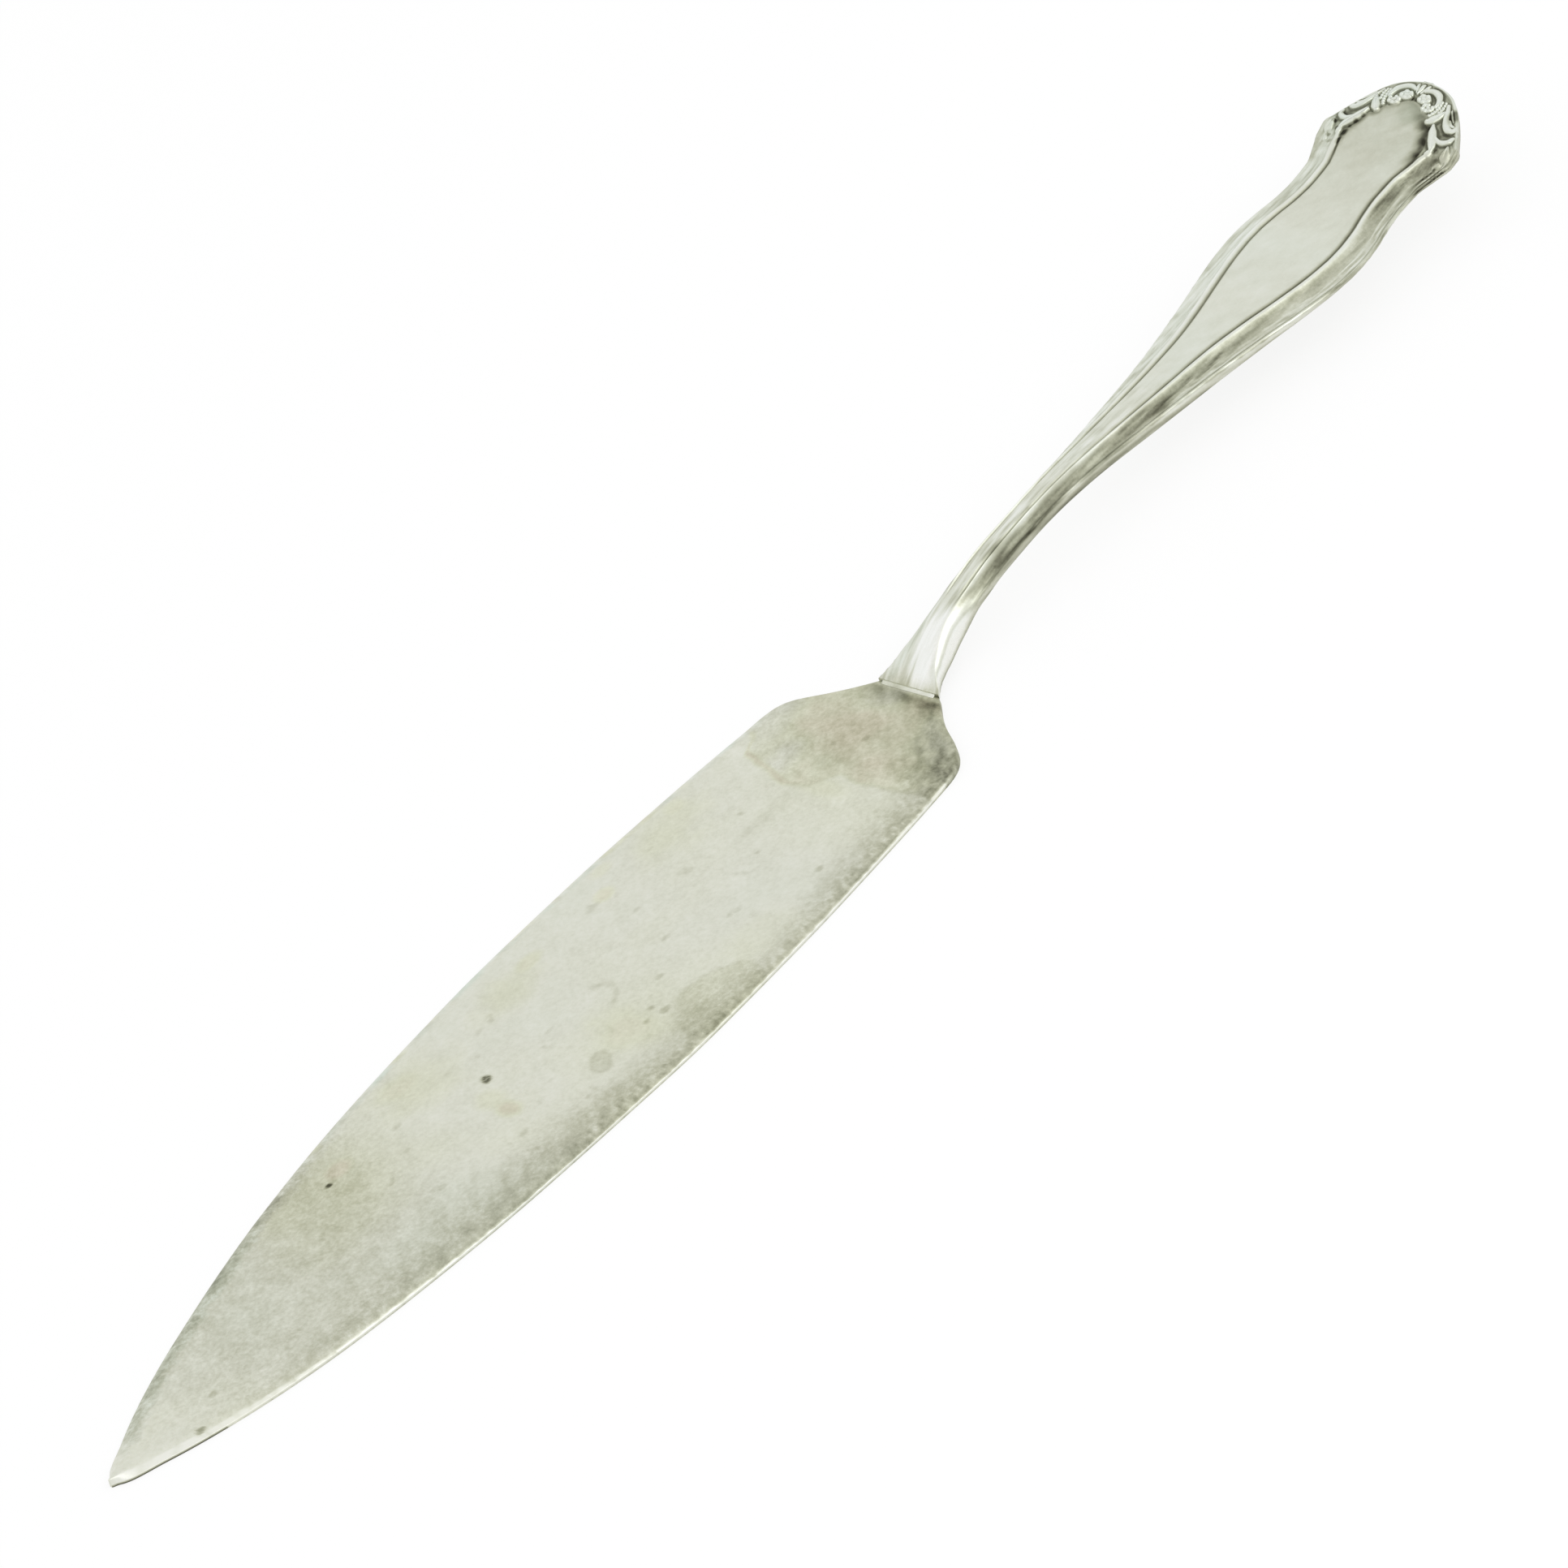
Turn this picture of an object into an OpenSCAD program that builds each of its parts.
// Fish serving knife: a flat lancet blade, a solid die-struck handle and the hard-solder joint between them.
// Millimetres. The blade lies on its flat underside with its tip towards -X, and the handle rises towards +X.
// The origin is under the middle of the knife's length, on the plane that the blade rests on.

/* [Blade] */
// Length of the blade from its tip to the toe of the handle's foot
blade_len = 168; // [130:1:210]
// Greatest width of the blade
blade_w = 42.3; // [34:0.1:56]
// How far the middle of the blade leans to its left edge, which is fuller than the right one
blade_lean = 0.7; // [0:0.1:1.5]
// Thickness of the plate
blade_t = 1.3; // [1.1:0.05:2]
// Thickness left at the bevelled edge
edge_t = 0.5; // [0.3:0.05:0.8]
// Width of the bevel that runs round the upper face
bevel_w = 0.9; // [0.5:0.05:1.5]
// Length of the rounded heels and the concave neck behind them
heel_len = 13; // [10:0.5:20]

/* [Handle] */
// Length of the handle from the toe of its foot to its end
handle_len = 122.5; // [100:0.5:150]
// Width of the flared foot at its toe
foot_w = 11.4; // [10:0.1:16]
// Least width of the stem
stem_w = 5.4; // [4.5:0.1:7]
// Width of the handle at its hip, the lower swelling
hip_w = 23.4; // [19:0.1:27]
// Width of the waist between the hip and the shoulders
waist_w = 20.2; // [16:0.1:23]
// Width across the two pointed shoulders at the end
shoulder_w = 24.9; // [20:0.1:28]
// How far the toe of the foot stands above the blade's face
toe_step = 0.32; // [0.2:0.02:0.6]
// Thickness of the stem
stem_t = 3.5; // [3:0.1:5]
// Thickness of the handle at its hip
hip_t = 2.1; // [1.9:0.1:3.2]
// Thickness of the handle at its end
end_t = 1.8; // [1.7:0.1:3]
// Height of the stem's middle above the plane that the blade lies on
stem_rise = 8.75; // [7:0.05:12]
// The same height at the hip
hip_rise = 8.7; // [6:0.05:12]
// The same height at the end, which turns up a little
end_rise = 12.7; // [9:0.1:16]

/* [Joint] */
// Length of the blade's tongue under the foot
tongue_len = 5; // [4:0.5:7]
// Thickness of the tongue
tongue_t = 0.7; // [0.5:0.05:0.8]
// Thickness of the film of solder between the tongue and the foot
film_t = 0.12; // [0.08:0.01:0.2]
// Leg of the solder fillet in front of the toe
fillet_leg = 0.45; // [0.3:0.05:0.7]

/* [Border] */
// Width of the border between the panel's groove and the rim
border_w = 4.4; // [3.5:0.1:5.5]
// How far the rim lies below the panel on the stem, where the border falls away most
stem_fall = 1; // [0.6:0.05:1.2]
// The same fall on the grip
grip_fall = 0.7; // [0.4:0.05:0.9]
// Width of the groove round the panel
groove_w = 0.5; // [0.3:0.05:0.8]
// Depth of the groove
groove_d = 0.3; // [0.15:0.05:0.5]
// Width of the thread that stands beside the groove
thread_w = 0.8; // [0.5:0.05:1.2]
// Depth of the hollow between the thread and the rim
hollow_d = 0.35; // [0.2:0.05:0.5]
// Width of the plain rim outside the hollow
rim_w = 1.1; // [0.8:0.05:1.5]
// Height of the scroll band round the end above the panel
scroll_h = 0.55; // [0.3:0.05:0.8]

/* [Hidden] */

// Places along the knife, all measured on X
tip_x = -(blade_len + handle_len)/2;
toe_x = tip_x + blade_len;
end_x = toe_x + handle_len;
heel_x = toe_x - heel_len;
lap_x = toe_x + tongue_len;
seat_z = tongue_t + film_t;
toe_top = blade_t + toe_step;
foot_t = toe_top - seat_z;
// How far the tongue and the film stay inside the foot's edge
tongue_inset = 0.35;
// How far the tongue runs back into the plate
tongue_root = 1.5;
// Rounding of the handle's upper edges on the foot, the neck and the rim
foot_round = 0.25;
neck_round = 0.9;
rim_round = 0.45;
// Rounding of its lower edges on the stem and the grip
stem_round = 1;
grip_round = 0.6;
// Crown of the panel and of the plain back
panel_crown = 0.12;
back_crown = 0.35;
// Radius of the blade's tip, seen from above, and how blunt its very end is
tip_round = 0.5;
tip_blunt_share = 0.1;
// How much of the bevel's width is filed away where the neck meets the foot
bevel_fade_share = 0.85;

// Blade outline: place as a share of the length before the heels, half-width as a share of the greatest one
blade_shares = [
    [0, 0], [0.012, 0.087], [0.04, 0.188], [0.065, 0.276], [0.103, 0.390], [0.155, 0.518], [0.232, 0.667],
    [0.323, 0.797], [0.426, 0.9], [0.542, 0.966], [0.652, 1], [0.774, 0.985], [0.89, 0.937], [1, 0.862]];
// Lean of the blade's middle: place as a share of the blade's length, lean as a share of the greatest one
lean_shares = [
    [0, 0], [0.15, 0], [0.3, 0.74], [0.446, 1], [0.595, 0.68], [0.744, 0.38], [0.893, -0.1], [0.932, -0.3],
    [0.955, 0], [0.976, 0.3], [1, 0]];
// Heels and neck: place as a share of the heel length, half-width as a share between foot and heel
heel_shares = [
    [0, 1], [0.13, 0.97], [0.24, 0.925], [0.34, 0.855], [0.42, 0.77], [0.5, 0.66], [0.6, 0.5],
    [0.7, 0.355], [0.8, 0.225], [0.9, 0.11], [1, 0]];
// Handle outline: place as a share of the handle's length, half-width as a share of the size named beside it
handle_shares = [
    [0, 1, foot_w], [0.024, 0.674, foot_w], [0.08, 0.435, foot_w], [0.135, 1.044, stem_w], [0.22, 1, stem_w],
    [0.32, 1.178, stem_w], [0.416, 0.389, hip_w], [0.505, 0.526, hip_w], [0.593, 0.717, hip_w],
    [0.65, 0.865, hip_w], [0.695, 0.963, hip_w], [0.733, 1, hip_w], [0.768, 0.967, hip_w],
    [0.798, 1.043, waist_w], [0.827, 1, waist_w], [0.858, 1.014, waist_w], [0.885, 0.92, shoulder_w],
    [0.906, 0.998, shoulder_w], [0.918, 1, shoulder_w], [0.928, 0.938, shoulder_w],
    [0.944, 0.835, shoulder_w], [0.961, 0.71, shoulder_w], [0.977, 0.571, shoulder_w],
    [0.988, 0.44, shoulder_w], [0.996, 0.26, shoulder_w], [1, 0.067, shoulder_w]];
// Panel outline past the shoulders, where it closes in an arch: half-width as a share of the shoulder width
arch_shares = [
    [0.88, 0.545], [0.9, 0.63], [0.915, 0.62], [0.935, 0.5], [0.95, 0.35], [0.96, 0.19], [0.966, 0.06]];
// Where the thread border starts on the stem and is full, where the scroll band takes over from it,
// and where the band closes over the top of the arch
thread_shares = [0.12, 0.5];
band_shares = [0.9, 0.925];
close_shares = [0.957, 0.966];
// Height of the handle's middle: place as a share of its length
rise_points = [
    [0, seat_z + foot_t/2], [0.03, stem_rise*0.395], [0.08, stem_rise*0.617], [0.18, stem_rise*0.892],
    [0.3, stem_rise], [0.5, stem_rise*0.933], [0.62, (stem_rise + hip_rise)*0.473], [0.765, hip_rise],
    [0.84, hip_rise + (end_rise - hip_rise)*0.183], [0.92, hip_rise + (end_rise - hip_rise)*0.505],
    [1, end_rise]];
// Thickness of the handle
thick_points = [
    [0, foot_t], [0.03, (foot_t + stem_t)*0.34], [0.08, stem_t*0.9], [0.18, stem_t], [0.3, stem_t*0.99],
    [0.5, (stem_t + hip_t)*0.54], [0.73, hip_t], [1, end_t]];
// Rounding of the upper and the lower edges
upper_points = [
    [0, foot_round], [0.03, foot_round*2], [0.08, neck_round], [0.2, rim_round*1.2], [0.36, rim_round],
    [1, rim_round]];
lower_points = [
    [0, foot_round], [0.03, foot_round*2], [0.1, stem_round], [0.2, stem_round], [0.36, stem_round*0.8],
    [0.6, grip_round], [1, grip_round]];
// Fall of the border from the panel out to the rim
fall_points = [
    [0, 0], [0.07, stem_fall*0.1], [0.16, stem_fall], [0.3, stem_fall], [0.5, grip_fall*1.07],
    [1, grip_fall]];

// Slope of a table of points at its point i, chosen so that the curve never overshoots a point
function secant(p, i) = (p[i + 1][1] - p[i][1])/(p[i + 1][0] - p[i][0]);
function slope(p, i) =
    i == 0 ? secant(p, 0) :
    i == len(p) - 1 ? secant(p, i - 1) :
    secant(p, i - 1)*secant(p, i) <= 0 ? 0 :
    2*secant(p, i - 1)*secant(p, i)/(secant(p, i - 1) + secant(p, i));
// Smooth curve through a table of points, read at place x
function between(p, i, x) =
    let(step = p[i + 1][0] - p[i][0], t = (x - p[i][0])/step)
    p[i][1]*(1 + 2*t)*(1 - t)*(1 - t) + p[i + 1][1]*t*t*(3 - 2*t)
    + step*t*(1 - t)*(slope(p, i)*(1 - t) - slope(p, i + 1)*t);
function along(p, x, i = 0) =
    i < len(p) - 2 && x > p[i + 1][0]
    ? along(p, x, i + 1)
    : between(p, i, min(max(x, p[0][0]), p[len(p) - 1][0]));
function ramp(a, b, x) = let(t = min(max((x - a)/(b - a), 0), 1)) t*t*(3 - 2*t);

// Tables in millimetres
blade_points = concat(
    [for (s = blade_shares) [tip_x + s[0]*(heel_x - tip_x), s[1]*blade_w/2]],
    [for (s = heel_shares) if (s[0] > 0)
        [heel_x + s[0]*heel_len,
         foot_w/2 + s[1]*(blade_shares[len(blade_shares) - 1][1]*blade_w - foot_w)/2]]);
handle_points = [for (s = handle_shares) [toe_x + s[0]*handle_len, s[1]*s[2]/2]];
arch_points = [for (s = arch_shares) [toe_x + s[0]*handle_len, s[1]*shoulder_w/2]];
function share_of_handle(x) = (x - toe_x)/handle_len;
function half_blade(x) =
    max(along(blade_points, x), tip_round*sqrt(min(1, tip_blunt_share + (x - tip_x)/tip_round)));
function half_handle(x) = along(handle_points, x);
function lean(x) = blade_lean*along(lean_shares, (x - tip_x)/blade_len);

// Skin of a loft: equal rings of points, joined by triangles and closed at both ends
module loft(rings) {
    n = len(rings[0]);
    last = len(rings) - 1;
    points = [for (ring = rings) each ring];
    sides = [for (i = [0:last - 1], j = [0:n - 1]) let(k = (j + 1)%n) each [
        [i*n + j, (i + 1)*n + j, i*n + k],
        [i*n + k, (i + 1)*n + j, (i + 1)*n + k]]];
    caps = [[for (j = [0:n - 1]) j], [for (j = [0:n - 1]) last*n + n - 1 - j]];
    polyhedron(points, concat(sides, caps), convexity = 6);
}

// Section of the plate at x: flat underside, upright land, bevel and flat face
function plate_ring(x) =
    let(
        left = lean(x) + half_blade(x),
        right = lean(x) - half_blade(x),
        filed = 1 - bevel_fade_share*ramp((heel_x + toe_x)/2, toe_x, x),
        inset = min(bevel_w*filed, half_blade(x)*0.7))
    [[x, right, 0], [x, left, 0], [x, left, edge_t],
     [x, left - inset, blade_t], [x, right + inset, blade_t], [x, right, edge_t]];
// Places of the plate's sections: close together at the tip and round the heels
plate_steps = 60;
heel_steps = 26;
plate_places = concat(
    [for (i = [0:plate_steps]) tip_x + (heel_x - tip_x)*pow(i/plate_steps, 1.6)],
    [for (i = [1:heel_steps]) heel_x + heel_len*i/heel_steps]);

// The handle's middle line lies a little beside the origin, which is under the middle of the whole outline
axis_y = -(max([for (x = plate_places) half_blade(x) + lean(x)])
    - max([for (x = plate_places) half_blade(x) - lean(x)]))/2;

module tongue_outline(inset) {
    steps = 8;
    side = [for (i = [0:steps]) let(x = toe_x + tongue_len*i/steps) [x, half_handle(x) - inset]];
    back = [[toe_x - tongue_root, half_handle(toe_x) - inset]];
    half = concat(back, side);
    polygon(concat(half, [for (i = [len(half) - 1:-1:0]) [half[i][0], -half[i][1]]]));
}

module blade() {
    color([0.83, 0.84, 0.78]) union() {
        loft([for (x = plate_places) plate_ring(x)]);
        linear_extrude(tongue_t) tongue_outline(tongue_inset);
    }
}

// Quarter of a round edge from its start angle, as offsets from the corner's centre
edge_steps = 3;
function round_edge(y, z, r, from) =
    [for (i = [0:edge_steps]) let(a = from + 90*i/edge_steps) [y + r*cos(a), z + r*sin(a)]];

// Half-width of the panel at x: inside the border, and an arch at the end
function half_panel(x) =
    share_of_handle(x) > arch_shares[0][0]
    ? max(min(along(arch_points, x), half_handle(x) - groove_w), groove_w)
    : half_handle(x) - border_w;

// Half section of the handle at x, from the middle of the back round the edge to the middle of the face
function half_section(x) =
    let(
        u = share_of_handle(x),
        w = half_handle(x),
        middle = along(rise_points, u),
        thick = along(thick_points, u),
        top = middle + thick/2,
        lap = ramp(lap_x, lap_x + 2*tongue_len, x),
        back = seat_z + (max(middle - thick/2, seat_z) - seat_z)*lap,
        panel = max(min(half_panel(x), w*0.82 - groove_w), w*0.3),
        groove = min(groove_w, panel*0.6),
        border = w - panel,
        fall = along(fall_points, u),
        room = top - fall - back,
        upper = min(along(upper_points, u), room*0.48, border*0.6),
        lower = min(along(lower_points, u), room*0.48, border*0.6),
        struck = min(border/border_w, 1)*ramp(thread_shares[0], thread_shares[1], u),
        band = ramp(band_shares[0], band_shares[1], u),
        closed = ramp(close_shares[0], close_shares[1], u),
        rim = max(rim_w*min(border/border_w, 1), upper*1.1),
        thread = thread_w*min(border/border_w, 1),
        face = top + scroll_h*band,
        rim_z = face - fall,
        panel_z = top + scroll_h*closed)
    concat(
        [[0, back - back_crown*lap]],
        round_edge(w - lower, back + lower, lower, -90),
        round_edge(w - upper, rim_z - upper, upper, 0),
        [[w - rim - (border - rim)*0.1, rim_z + fall*0.05],
         [w - (rim + border - thread)/2, (face + rim_z)/2 - hollow_d*struck*(1 - band)],
         [panel + thread, face],
         [panel + thread/2, face + hollow_d*0.4*struck*(1 - band)],
         [panel, panel_z],
         [panel - groove/2, panel_z - groove_d*struck*(1 - closed)],
         [panel - groove, panel_z],
         [0, panel_z + panel_crown*struck*(1 - closed)]]);
function handle_ring(x) =
    let(half = half_section(x))
    concat([for (q = half) [x, q[0], q[1]]],
           [for (i = [len(half) - 2:-1:1]) [x, -half[i][0], half[i][1]]]);
// Places of the handle's sections: a step of the stem, and closer steps at the foot and the end
foot_steps = 16;
stem_steps = 44;
crown_steps = 34;
foot_share = 0.12;
crown_share = 0.86;
handle_start = toe_x + film_t;
handle_places = concat(
    [for (i = [0:foot_steps]) handle_start + (handle_len*foot_share - film_t)*i/foot_steps],
    [for (i = [1:stem_steps]) toe_x + handle_len*(foot_share + (crown_share - foot_share)*i/stem_steps)],
    [for (i = [1:crown_steps])
        toe_x + handle_len*(crown_share + (1 - crown_share)*sin(90*i/crown_steps))]);

module handle() {
    color([0.86, 0.87, 0.83]) loft([for (x = handle_places) handle_ring(x)]);
}

// Solder: a film under the foot and before its toe, with a hollow fillet up to the toe's edge
module solder_joint() {
    steps = 5;
    face = [for (i = [0:steps]) let(a = 90*i/steps)
        [toe_x - fillet_leg + fillet_leg*sin(a), toe_top - toe_step*cos(a)]];
    section = concat(
        [[toe_x, blade_t], [toe_x, tongue_t], [lap_x, tongue_t], [lap_x, seat_z], [toe_x + film_t, seat_z],
         [toe_x + film_t, toe_top]],
        [for (i = [steps:-1:0]) face[i]]);
    color([0.62, 0.6, 0.52]) intersection() {
        translate([0, foot_w/2, 0]) rotate([90, 0, 0]) linear_extrude(foot_w) polygon(section);
        linear_extrude(toe_top) tongue_outline(tongue_inset);
    }
}

translate([0, axis_y, 0]) blade();
translate([0, axis_y, 0]) handle();
translate([0, axis_y, 0]) solder_joint();
